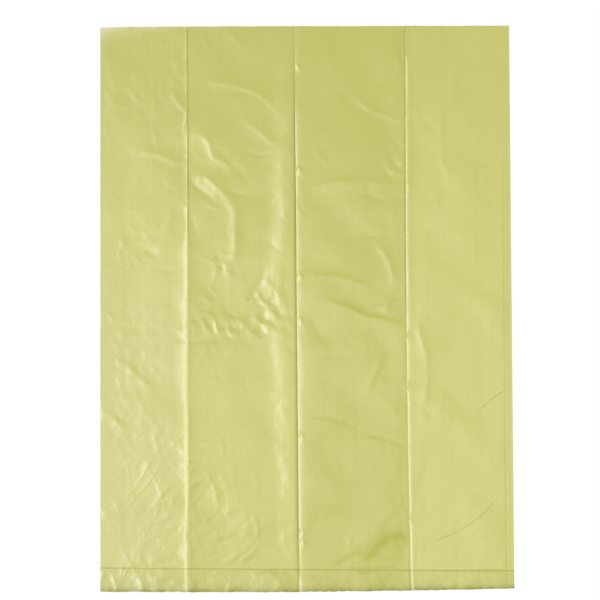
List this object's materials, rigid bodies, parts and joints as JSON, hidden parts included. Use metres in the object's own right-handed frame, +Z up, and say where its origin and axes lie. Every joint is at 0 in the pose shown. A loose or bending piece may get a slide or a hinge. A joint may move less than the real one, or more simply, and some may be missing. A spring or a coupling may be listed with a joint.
{
  "type": "dog waste bag",
  "caption": "Thin yellow-green plastic film bag for picking up dog waste, torn off its roll, unfolded and lying flat, open at the mouth and heat-sealed near the lower edge.",
  "frame": {"origin": "on the surface that the bag lies on, under the centre of its outline", "axes": "+X across the bag towards its right side fold, +Y along the bag towards the mouth, +Z up out of the front wall"},
  "size_m": [0.23, 0.3148, 0.0036],
  "materials": {
    "film": "thin translucent polyethylene film, soft semi-gloss, creased and slightly wrinkled"
  },
  "bodies": {
    "root": {"bag": "film"}
  },
  "joints": []
}
